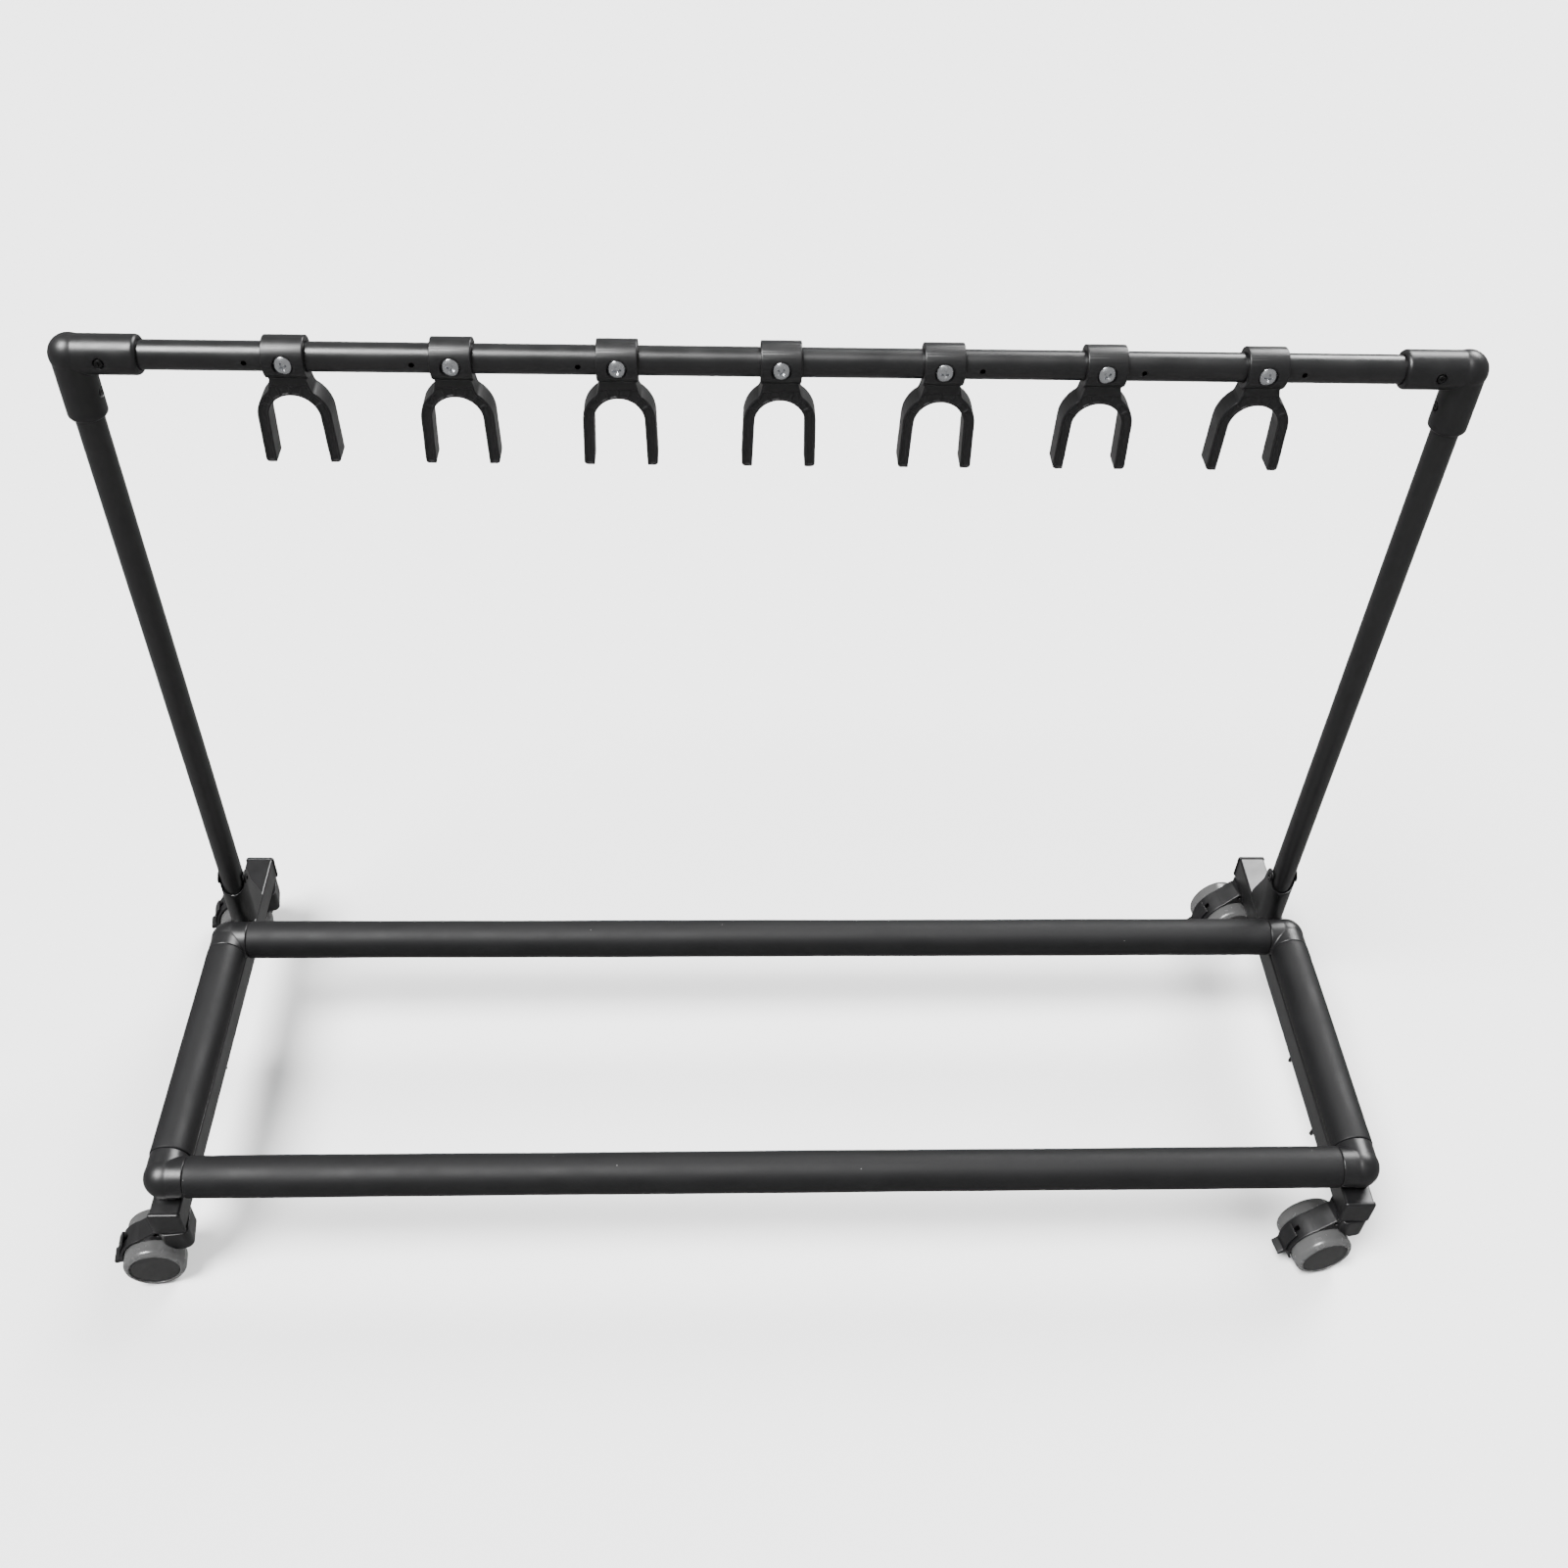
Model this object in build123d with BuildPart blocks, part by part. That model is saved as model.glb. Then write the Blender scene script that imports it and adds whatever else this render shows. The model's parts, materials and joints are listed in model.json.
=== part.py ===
from build123d import *
import os
from math import cos, radians, sin

os.makedirs("parts", exist_ok=True)

# Rolling rack for seven guitars. Two square rails on twin-wheel casters carry a
# rectangle of padded bars, and a folding frame behind it carries seven neck yokes.
# X runs along the padded bars, Y from front to back, Z up from the floor.

# ---------------------------------------------------------------- driving dimensions
rail_spacing = 1000.0        # between the centre lines of the two rails
bar_spacing = 254.0          # between the front and the rear padded bar
upright_setback = 45.0       # the uprights stand this far behind the rear padded bar
top_bar_z = 693.5
pivot_z = 143.5              # hinge of each upright
yoke_pitch = 116.7
yoke_count = 7
spare_hole_offset = 27.5     # from a side yoke outwards to the spare hole beside it
yokes_each_side = yoke_count // 2

wheel_radius = 25.4
rail_size = 25.0
rail_wall = 1.5
rail_bottom_z = 65.0
tube_radius = 10.5
tube_wall = 1.2
foam_radius = 17.3
small_gap = 0.2              # between the foam and the rail, and other resting faces

# The casters trail to the left, so the middle of the whole rack's box is to the
# left of the frame's own middle, and the frame's middle is at a positive X.
middle_x = 20.6
rear_bar_y = 84.1

# ------------------------------------------------------------------ places and levels
front_bar_y = rear_bar_y - bar_spacing
upright_y = rear_bar_y + upright_setback
left_x = middle_x - rail_spacing / 2
right_x = middle_x + rail_spacing / 2
rail_top_z = rail_bottom_z + rail_size
padded_axis_z = rail_top_z + foam_radius + small_gap
tube_bore_radius = tube_radius - tube_wall

# Rails and their end caps
rail_overhang_front = 23.5   # rail metal in front of the front bar's axis
rail_overhang_rear = 117.5   # rail metal behind the rear bar's axis
rail_corner = 2.0
cap_thickness = 3.5
cap_size = 27.0
cap_plug_length = 3.2
cap_corner = 2.6
plug_corner = 1.6
cap_edge_rounding = 1.6
rail_front_y = front_bar_y - rail_overhang_front
rail_rear_y = rear_bar_y + rail_overhang_rear
rail_length = rail_rear_y - rail_front_y

# Corner elbows of the padded rectangle
elbow_ball_radius = 17.3
elbow_arm_radius = 16.8
elbow_reach = 18.0           # from the corner to where the tubes and foam start
spigot_radius = 9.2
spigot_length = 30.0
elbow_foot = 22.0
elbow_foot_corner = 5.0
cut_margin = 1.0             # how far a cutting tool runs past the face that it opens

# Wing screws that clamp the side tubes to the rails
wing_screw_setbacks = (97.0, 178.0)      # in front of the rear bar
wing_screw_turns = {"left": (125.0, 92.0), "right": (48.0, 42.0)}
wing_shank_radius = 3.0
wing_shank_top_z = 103.0
wing_hub_radius = 6.0
wing_hub_height = 8.0
wing_hub_taper = 12.0        # degrees
wing_lobe_radius = 6.4
wing_lobe_offset = 8.6
wing_lobe_drop = 1.2         # the lobes start this far under the rail
wing_thickness = 2.6
wing_hole_radius = 3.2

# Hinge brackets and their rivets
bracket_outer = 12.5
bracket_inner = 11.0
bracket_leg_reach = 26.0
ear_radius = 8.5
ear_front_drop = 14.0        # the front edge is straight from this far below the hinge
ear_front_rounding = 14.0
ear_rear_reach = 10.2        # the rear edge turns into the leg here
ear_rear_drop = 13.0
leg_toe_height = 9.5
leg_toe_slope = 2.0
scoop_radius = 11.2
rivet_radius = 3.0
rivet_bore = 2.2
rivet_head_radius = 4.6
rivet_head_height = 0.7
rivet_head_taper = 30.0      # degrees
upright_pivot_hole = 3.05
upright_tail = 46.0          # tube below the hinge

# Top elbows, top bar and their screws
tube_to_corner = 14.0        # a tube stops this far from the corner inside the elbow
top_elbow_arm_radius = 14.3
top_elbow_ball_radius = 15.0
top_elbow_arm_length = 49.0
top_elbow_bore = 10.55
top_elbow_lip = 3.2
side_screw_offset = 23.0     # on the level arm, facing forwards
down_screw_offset = 30.0     # on the upright arm, facing the middle of the rack
elbow_recess_radius = 4.0
elbow_recess_floor = 12.3    # from the arm's axis
elbow_screw_head_radius = 3.4
elbow_screw_head_height = 1.7
elbow_screw_head_taper = 20.0            # degrees
elbow_screw_cross_length = 3.4
elbow_screw_cross_width = 0.8
elbow_screw_cross_floor = 0.7            # above the recess floor
elbow_screw_shank_radius = 1.5
elbow_screw_tip = 6.0        # from the arm's axis

# Yokes
ring_radius = 15.0
ring_width = 29.5
ring_bore = 10.55
arch_radius = 18.4
arch_drop = 44.9             # arch centre below the top bar's axis
fork_outer_radius = 26.5
fork_tip_drop = 82.0
fork_tip_outer = 27.4
fork_tip_inner = 19.5
fork_depth = 18.0
fork_rim = 1.5
fork_recess = 1.0
fork_edge_rounding = 0.5
fork_tip_outer_rounding = 2.6
fork_tip_inner_rounding = 3.6
neck_half_width = 12.0
neck_top_drop = 9.0          # the neck starts this far below the bar's axis
neck_foot_angle = 35.0       # where the neck meets the fork, from straight up
neck_rounding = 5.0
fork_shoulder_angle = 62.0   # a point on the fork's round shoulder
ring_clearance = 4.0         # the recess stays this far below the collar
rib_count = 7
rib_step = 20.0
rib_thickness = 1.0
rib_setback = 0.15           # below the rim
rib_end_gap = 0.5            # at each end of a rib
spare_hole_radius = 2.0
yoke_recess_radius = 7.25
yoke_recess_floor = 12.4     # from the bar's axis
yoke_screw_head_radius = 6.7
yoke_screw_head_height = 2.7
yoke_screw_head_taper = 25.0             # degrees
yoke_screw_cross_length = 5.6
yoke_screw_cross_width = 1.3
yoke_screw_cross_floor = 1.0             # above the recess floor
yoke_screw_cross_turn = 20.0             # degrees
yoke_screw_shank_radius = 1.95
yoke_screw_tip = 5.0

# Casters: X runs from the stem to the axle, Y along the axle, Z up from the floor
caster_trail = 22.0
stem_inset = 10.5            # from the end of the rail metal
caster_headings = {          # from the stem to the axle, turned from +X
    "front_left": 187.5,
    "front_right": 191.0,
    "rear_left": 190.0,
    "rear_right": 196.0,
}
stem_radius = 5.0            # in the hood
stem_thread_radius = 4.0     # in the rail
stem_bottom_z = 36.0
stem_thread_length = 12.0
stem_flange_flats = 17.0
stem_flange_height = 1.4
stem_nut_flats = 13.0
stem_nut_height = 6.5
wheel_inner = 6.5            # distance of a wheel's inner face from the middle
wheel_outer = 23.5
tyre_shoulder = 4.4
tyre_inner_rounding = 1.5
cap_disc_step = 1.5          # between the tyre's side and the cap disc
cap_disc_dish = 1.2          # the disc's middle lies this far inside its rim
axle_end_gap = 0.3
axle_chamfer = 0.5
cap_disc_radius = 20.4
axle_radius = 3.0
axle_half_length = 19.0
running_gap = 0.05
wheel_well_radius = 26.2
fender_radius = 28.2
fender_half_width = 10.0
spine_half_width = 6.2
hood_top_z = 63.1
fender_angles = (72.0, 20.0, -30.0)      # start, middle and end, from +X at the axle
spine_rear = (21.0, -30.0)   # radius and angle at the axle
spine_low = (9.0, -90.0)
spine_notch = (11.0, 190.0)
spine_front = (24.0, 165.0)
hood_block_bottom_z = 40.5
hood_block_size = (24.0, 30.0)
hood_block_corner = 6.0
hood_block_shift = -1.0
hood_outline_top = (         # X and Z, from under the stem over the top to the fender
    (-9.0, hood_block_bottom_z),
    (-13.0, hood_block_bottom_z + 4.0),
    (-13.0, hood_top_z - 5.0),
    (-9.0, hood_top_z),
    (9.0, hood_top_z),
    (15.5, hood_top_z - 0.8),
    (20.5, hood_top_z - 4.0),
)
hood_window_radius = 2.2
hood_window_place = (14.5, 57.3)         # X and Z
lever_web_half = 1.5
lever_slot_half = 2.0
lever_inner_radius = 28.8
lever_outer_radius = 31.0
lever_half_width = 6.75
lever_hub_radius = 7.0
lever_web_angles = (-13.0, 10.0, 34.0)   # from +X at the axle, as all the lever's angles
lever_strip_top = 36.0
lever_strip_bend = 38.0
lever_strip_foot = -15.0
lever_tab_root = -4.0
lever_tab_tip = ((36.6, -9.0), (36.2, -14.0))        # radius and angle
lever_slot_radius = 36.0
lever_slot_angles = (-62.0, -8.0, 46.0)
lever_slot_hub = 7.6


def finish(piece, label):
    """Name a finished piece and write it as its own node."""
    piece.part.label = label
    export_step(piece.part, f"parts/{label}.step")


def polar(radius, degrees, center=(0.0, 0.0)):
    """Point on a circle, for outlines that follow one."""
    return (
        center[0] + radius * cos(radians(degrees)),
        center[1] + radius * sin(radians(degrees)),
    )


# -------------------------------------------------------------------------------- rails
def make_rail(label, rail_x):
    """Square steel tube with holes for the caster stems and the wing screws."""
    stem_ys = (rail_front_y + stem_inset, rail_rear_y - stem_inset)
    clamp_ys = [rear_bar_y - setback for setback in wing_screw_setbacks]
    section = Plane(
        origin=(rail_x, rail_rear_y, rail_bottom_z + rail_size / 2),
        x_dir=(1, 0, 0),
        z_dir=(0, -1, 0),
    )
    with BuildPart() as rail:
        with BuildSketch(section):
            RectangleRounded(rail_size, rail_size, rail_corner)
            RectangleRounded(
                rail_size - 2 * rail_wall,
                rail_size - 2 * rail_wall,
                rail_corner - rail_wall / 2,
                mode=Mode.SUBTRACT,
            )
        extrude(amount=rail_length)
        with BuildSketch(Plane.XY.offset(rail_bottom_z)):
            with Locations([(rail_x, y) for y in stem_ys]):
                Circle(stem_thread_radius + small_gap)
        extrude(amount=rail_wall, mode=Mode.SUBTRACT)
        with BuildSketch(Plane.XY.offset(rail_bottom_z)):
            with Locations([(rail_x, y) for y in clamp_ys]):
                Circle(wing_hole_radius)
        extrude(amount=rail_size, mode=Mode.SUBTRACT)
    finish(rail, label)


make_rail("rail_left", left_x)
make_rail("rail_right", right_x)

# Four plastic caps, each a flange over the rail's end and a plug inside it
plug_size = rail_size - 2 * rail_wall - small_gap
cap_center_z = rail_bottom_z + rail_size / 2
with BuildPart() as rail_end_caps:
    for cap_x in (left_x, right_x):
        for end_y, outwards in ((rail_front_y, -1), (rail_rear_y, 1)):
            flange_plane = Plane(
                origin=(cap_x, end_y, cap_center_z), x_dir=(1, 0, 0), z_dir=(0, outwards, 0)
            )
            with BuildSketch(flange_plane):
                RectangleRounded(cap_size, cap_size, cap_corner)
            extrude(amount=cap_thickness)
            with BuildSketch(flange_plane):
                RectangleRounded(plug_size, plug_size, plug_corner)
            extrude(amount=-cap_plug_length)
    cap_ends = rail_end_caps.faces().sort_by(Axis.Y)
    fillet(cap_ends[:2].edges() + cap_ends[-2:].edges(), radius=cap_edge_rounding)
finish(rail_end_caps, "rail_end_caps")


# -------------------------------------------------------------- padded rectangle of bars
def make_straight_tube(label, start, direction, length, clamp_holes=()):
    """Round steel tube, with a clamp hole through its lower wall at each listed place."""
    with BuildPart() as tube:
        with BuildSketch(Plane(origin=start, z_dir=direction)):
            Circle(tube_radius)
            Circle(tube_bore_radius, mode=Mode.SUBTRACT)
        extrude(amount=length)
        if clamp_holes:
            with BuildSketch(Plane.XY.offset(padded_axis_z)):
                with Locations(clamp_holes):
                    Circle(wing_shank_radius + running_gap)
            extrude(amount=-foam_radius, mode=Mode.SUBTRACT)
    finish(tube, label)


def make_foam(label, start, direction, length, clamp_holes=()):
    """Foam sleeve over a tube."""
    with BuildPart() as foam:
        with BuildSketch(Plane(origin=start, z_dir=direction)):
            Circle(foam_radius)
            Circle(tube_radius + small_gap / 2, mode=Mode.SUBTRACT)
        extrude(amount=length)
        if clamp_holes:
            with BuildSketch(Plane.XY.offset(padded_axis_z)):
                with Locations(clamp_holes):
                    Circle(wing_hole_radius)
            extrude(amount=-foam_radius, mode=Mode.SUBTRACT)
    finish(foam, label)


def make_corner_elbow(label, corner_x, corner_y, inward_x, inward_y):
    """Ball-shaped elbow with a foot on the rail and a spigot into each of two tubes."""
    corner = (corner_x, corner_y, padded_axis_z)
    with BuildPart() as elbow:
        with Locations(corner):
            Sphere(elbow_ball_radius)
        for direction in ((inward_x, 0, 0), (0, inward_y, 0)):
            with BuildSketch(Plane(origin=corner, z_dir=direction)):
                Circle(elbow_arm_radius)
            extrude(amount=elbow_reach)
            with BuildSketch(Plane(origin=corner, z_dir=direction)):
                Circle(spigot_radius)
            extrude(amount=elbow_reach + spigot_length)
        with BuildSketch(Plane(origin=(corner_x, corner_y, rail_top_z))):
            RectangleRounded(elbow_foot, elbow_foot, elbow_foot_corner)
        extrude(amount=elbow_arm_radius / 2)
    finish(elbow, label)


bar_length = rail_spacing - 2 * (elbow_reach + small_gap)
side_length = bar_spacing - 2 * (elbow_reach + small_gap)
bar_start_x = left_x + elbow_reach + small_gap
side_start_y = front_bar_y + elbow_reach + small_gap
for place, bar_y in (("front", front_bar_y), ("rear", rear_bar_y)):
    bar_start = (bar_start_x, bar_y, padded_axis_z)
    make_straight_tube(f"tube_{place}", bar_start, (1, 0, 0), bar_length)
    make_foam(f"foam_{place}", bar_start, (1, 0, 0), bar_length)
    inward_y = 1 if place == "front" else -1
    make_corner_elbow(f"corner_elbow_{place}_left", left_x, bar_y, 1, inward_y)
    make_corner_elbow(f"corner_elbow_{place}_right", right_x, bar_y, -1, inward_y)
for place, side_x in (("left", left_x), ("right", right_x)):
    side_start = (side_x, side_start_y, padded_axis_z)
    clamps = [(side_x, rear_bar_y - setback) for setback in wing_screw_setbacks]
    make_straight_tube(f"tube_side_{place}", side_start, (0, 1, 0), side_length, clamps)
    make_foam(f"foam_side_{place}", side_start, (0, 1, 0), side_length, clamps)

# Four wing screws, up through a rail, the foam and the lower wall of a side tube
with BuildPart() as wing_screws:
    for place, side_x in (("left", left_x), ("right", right_x)):
        for setback, turn in zip(wing_screw_setbacks, wing_screw_turns[place]):
            screw_foot = (side_x, rear_bar_y - setback, rail_bottom_z)
            with BuildSketch(Plane(origin=screw_foot)):
                Circle(wing_shank_radius)
            extrude(amount=wing_shank_top_z - rail_bottom_z)
            with BuildSketch(Plane(origin=screw_foot)):
                Circle(wing_hub_radius)
            extrude(amount=-wing_hub_height, taper=wing_hub_taper)
            wing_plane = Plane(
                origin=screw_foot,
                x_dir=(cos(radians(turn)), sin(radians(turn)), 0),
                z_dir=(sin(radians(turn)), -cos(radians(turn)), 0),
            )
            with BuildSketch(wing_plane):
                for side in (-1, 1):
                    with BuildLine():
                        Polyline(
                            (0, -wing_lobe_drop),
                            (side * wing_lobe_offset, -wing_lobe_drop - wing_lobe_radius / 2),
                            (side * wing_lobe_offset, -wing_lobe_drop - 2 * wing_lobe_radius),
                            (0, -wing_hub_height),
                            close=True,
                        )
                    make_face()
                    with Locations((side * wing_lobe_offset, -wing_lobe_drop - wing_lobe_radius)):
                        Circle(wing_lobe_radius)
            extrude(amount=wing_thickness / 2, both=True)
finish(wing_screws, "wing_screws")


# ----------------------------------------------------------------------- folding hinges
def make_hinge_bracket(label, bracket_x):
    """Bent sheet channel on the rail, round to the front and open to the back."""
    with BuildPart() as bracket:
        with BuildSketch(Plane(origin=(bracket_x, upright_y, rail_top_z))):
            Circle(bracket_outer)
            with Locations((0, bracket_leg_reach / 2)):
                Rectangle(2 * bracket_outer, bracket_leg_reach)
            Circle(bracket_inner, mode=Mode.SUBTRACT)
            with Locations((0, bracket_leg_reach / 2)):
                Rectangle(2 * bracket_inner, bracket_leg_reach, mode=Mode.SUBTRACT)
        extrude(amount=pivot_z - rail_top_z + ear_radius)
        side_view = Plane(
            origin=(bracket_x, upright_y, pivot_z), x_dir=(0, 1, 0), z_dir=(1, 0, 0)
        )
        foot_drop = pivot_z - rail_top_z
        with BuildSketch(side_view) as side_outline:
            with BuildLine():
                Polyline(
                    (-ear_radius, 0),
                    (-bracket_outer, -ear_front_drop),
                    (-bracket_outer, -foot_drop),
                    (bracket_leg_reach, -foot_drop),
                    (bracket_leg_reach - leg_toe_slope, -foot_drop + leg_toe_height),
                    (ear_rear_reach, -ear_rear_drop),
                    (ear_radius, 0),
                )
                ThreePointArc((ear_radius, 0), (0, ear_radius), (-ear_radius, 0))
            make_face()
            shoulder = side_outline.vertices().sort_by(Axis.Y)[-3]
            fillet(shoulder, radius=ear_front_rounding)
        extrude(amount=bracket_outer + cut_margin, both=True, mode=Mode.INTERSECT)
        # Round scoop in the web, where the upright lies when it is folded forwards
        front_view = Plane(
            origin=(bracket_x, upright_y, pivot_z), x_dir=(1, 0, 0), z_dir=(0, -1, 0)
        )
        with BuildSketch(front_view):
            Circle(scoop_radius)
            with Locations((0, scoop_radius)):
                Rectangle(2 * scoop_radius, 2 * scoop_radius)
        extrude(amount=bracket_outer + cut_margin, mode=Mode.SUBTRACT)
        with BuildSketch(side_view):
            Circle(rivet_radius)
        extrude(amount=bracket_outer + cut_margin, both=True, mode=Mode.SUBTRACT)
    finish(bracket, label)


make_hinge_bracket("hinge_bracket_left", left_x)
make_hinge_bracket("hinge_bracket_right", right_x)

# Two tubular rivets, one through each bracket and upright
with BuildPart() as pivot_rivets:
    for hinge_x in (left_x, right_x):
        rivet_plane = Plane(origin=(hinge_x, upright_y, pivot_z), z_dir=(1, 0, 0))
        with BuildSketch(rivet_plane):
            Circle(rivet_radius)
        extrude(amount=bracket_outer, both=True)
        for outwards in (-1, 1):
            head_plane = Plane(
                origin=(hinge_x + outwards * bracket_outer, upright_y, pivot_z),
                z_dir=(outwards, 0, 0),
            )
            with BuildSketch(head_plane):
                Circle(rivet_head_radius)
            extrude(amount=rivet_head_height, taper=rivet_head_taper)
        with BuildSketch(rivet_plane):
            Circle(rivet_bore)
        extrude(amount=bracket_outer + rivet_head_height, both=True, mode=Mode.SUBTRACT)
finish(pivot_rivets, "pivot_rivets")


# -------------------------------------------------------------------------- upper frame
def make_upright(label, upright_x, inwards):
    """Round tube with a hinge hole near its foot and a screw hole near its top."""
    foot_z = pivot_z - upright_tail
    with BuildPart() as upright:
        with BuildSketch(Plane(origin=(upright_x, upright_y, foot_z))):
            Circle(tube_radius)
            Circle(tube_bore_radius, mode=Mode.SUBTRACT)
        extrude(amount=top_bar_z - tube_to_corner - foot_z)
        with BuildSketch(Plane(origin=(upright_x, upright_y, pivot_z), z_dir=(1, 0, 0))):
            Circle(upright_pivot_hole)
        extrude(amount=tube_radius, both=True, mode=Mode.SUBTRACT)
        screw_place = (upright_x, upright_y, top_bar_z - down_screw_offset)
        with BuildSketch(Plane(origin=screw_place, z_dir=(inwards, 0, 0))):
            Circle(elbow_screw_shank_radius + running_gap)
        extrude(amount=tube_radius, mode=Mode.SUBTRACT)
    finish(upright, label)


def make_top_elbow(label, corner_x, inwards):
    """Moulded elbow over the top of an upright and the end of the top bar."""
    corner = (corner_x, upright_y, top_bar_z)
    arms = ((inwards, 0, 0), (0, 0, -1))
    bore_start = (
        (corner_x + inwards * tube_to_corner, upright_y, top_bar_z),
        (corner_x, upright_y, top_bar_z - tube_to_corner),
    )
    screw_planes = (
        Plane(
            origin=(corner_x + inwards * side_screw_offset, upright_y, top_bar_z),
            z_dir=(0, -1, 0),
        ),
        Plane(
            origin=(corner_x, upright_y, top_bar_z - down_screw_offset),
            z_dir=(inwards, 0, 0),
        ),
    )
    with BuildPart() as elbow:
        with Locations(corner):
            Sphere(top_elbow_ball_radius)
        for direction in arms:
            with BuildSketch(Plane(origin=corner, z_dir=direction)):
                Circle(top_elbow_arm_radius)
            extrude(amount=top_elbow_arm_length)
        mouth_side = elbow.faces().sort_by(Axis.X)[-1 if inwards > 0 else 0]
        mouth_down = elbow.faces().sort_by(Axis.Z)[0]
        fillet(mouth_side.edges() + mouth_down.edges(), radius=top_elbow_lip)
        for start, direction in zip(bore_start, arms):
            with BuildSketch(Plane(origin=start, z_dir=direction)):
                Circle(top_elbow_bore)
            extrude(amount=top_elbow_arm_length, mode=Mode.SUBTRACT)
        for screw_plane in screw_planes:
            with BuildSketch(screw_plane.offset(elbow_recess_floor)):
                Circle(elbow_recess_radius)
            extrude(amount=ring_radius - elbow_recess_floor, mode=Mode.SUBTRACT)
            with BuildSketch(screw_plane):
                Circle(elbow_screw_shank_radius + running_gap)
            extrude(amount=elbow_recess_floor, mode=Mode.SUBTRACT)
    finish(elbow, label)


make_upright("upright_left", left_x, 1)
make_upright("upright_right", right_x, -1)
make_top_elbow("top_elbow_left", left_x, 1)
make_top_elbow("top_elbow_right", right_x, -1)

# Top bar, with a hole behind each yoke and a spare hole beside each side yoke
yoke_xs = [middle_x + yoke_pitch * step for step in range(-yokes_each_side, yokes_each_side + 1)]
spare_steps = [yoke_pitch * step + spare_hole_offset for step in range(1, yokes_each_side + 1)]
spare_xs = [middle_x + side * step for side in (-1, 1) for step in spare_steps]
bar_front_view = Plane(
    origin=(0, upright_y, top_bar_z), x_dir=(1, 0, 0), z_dir=(0, -1, 0)
)
with BuildPart() as top_bar:
    bar_end = (left_x + tube_to_corner, upright_y, top_bar_z)
    with BuildSketch(Plane(origin=bar_end, z_dir=(1, 0, 0))):
        Circle(tube_radius)
        Circle(tube_bore_radius, mode=Mode.SUBTRACT)
    extrude(amount=rail_spacing - 2 * tube_to_corner)
    with BuildSketch(bar_front_view):
        with Locations([(x, 0) for x in yoke_xs + spare_xs]):
            Circle(spare_hole_radius)
        with Locations([(left_x + side_screw_offset, 0), (right_x - side_screw_offset, 0)]):
            Circle(elbow_screw_shank_radius + running_gap)
    extrude(amount=tube_radius + cut_margin, mode=Mode.SUBTRACT)
finish(top_bar, "top_bar")

# Four screws that hold the tubes in the top elbows
with BuildPart() as elbow_screws:
    for corner_x, inwards in ((left_x, 1), (right_x, -1)):
        screw_axes = (
            Plane(
                origin=(corner_x + inwards * side_screw_offset, upright_y, top_bar_z),
                z_dir=(0, -1, 0),
            ),
            Plane(
                origin=(corner_x, upright_y, top_bar_z - down_screw_offset),
                z_dir=(inwards, 0, 0),
            ),
        )
        for screw_axis in screw_axes:
            with BuildSketch(screw_axis.offset(elbow_screw_tip)):
                Circle(elbow_screw_shank_radius)
            extrude(amount=elbow_recess_floor - elbow_screw_tip)
            with BuildSketch(screw_axis.offset(elbow_recess_floor)):
                Circle(elbow_screw_head_radius)
            extrude(amount=elbow_screw_head_height, taper=elbow_screw_head_taper)
            with BuildSketch(screw_axis.offset(elbow_recess_floor + elbow_screw_cross_floor)):
                Rectangle(elbow_screw_cross_length, elbow_screw_cross_width)
                Rectangle(elbow_screw_cross_width, elbow_screw_cross_length)
            extrude(amount=elbow_screw_head_height, mode=Mode.SUBTRACT)
finish(elbow_screws, "elbow_screws")


# -------------------------------------------------------------------------------- yokes
def fork_profile(view, inset=0.0):
    """Fork outline seen from the front, drawn smaller all round by the inset."""
    arch_center = (0.0, -arch_drop)
    outer = fork_outer_radius - inset
    inner = arch_radius + inset
    tip_y = -fork_tip_drop + inset
    neck_half = neck_half_width - inset
    with BuildSketch(view) as profile:
        with BuildLine():
            for side in (1, -1):
                neck_foot = polar(outer, 90 - side * neck_foot_angle, arch_center)
                Line((side * neck_half, -neck_top_drop), neck_foot)
                ThreePointArc(
                    neck_foot,
                    polar(outer, 90 - side * fork_shoulder_angle, arch_center),
                    (side * outer, -arch_drop),
                )
                Polyline(
                    (side * outer, -arch_drop),
                    (side * (fork_tip_outer - inset), tip_y),
                    (side * (fork_tip_inner + inset), tip_y),
                    (side * inner, -arch_drop),
                )
            ThreePointArc((-inner, -arch_drop), (0, inner - arch_drop), (inner, -arch_drop))
            Line((-neck_half, -neck_top_drop), (neck_half, -neck_top_drop))
        make_face()
        tips = profile.vertices().sort_by(Axis.Y)[:4].sort_by(Axis.X)
        fillet([tips[0], tips[3]], radius=fork_tip_outer_rounding - inset)
        fillet([tips[1], tips[2]], radius=fork_tip_inner_rounding - inset)
        fillet(profile.vertices().sort_by(Axis.Y)[-4:-2], radius=neck_rounding)
    return profile.sketch


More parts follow.
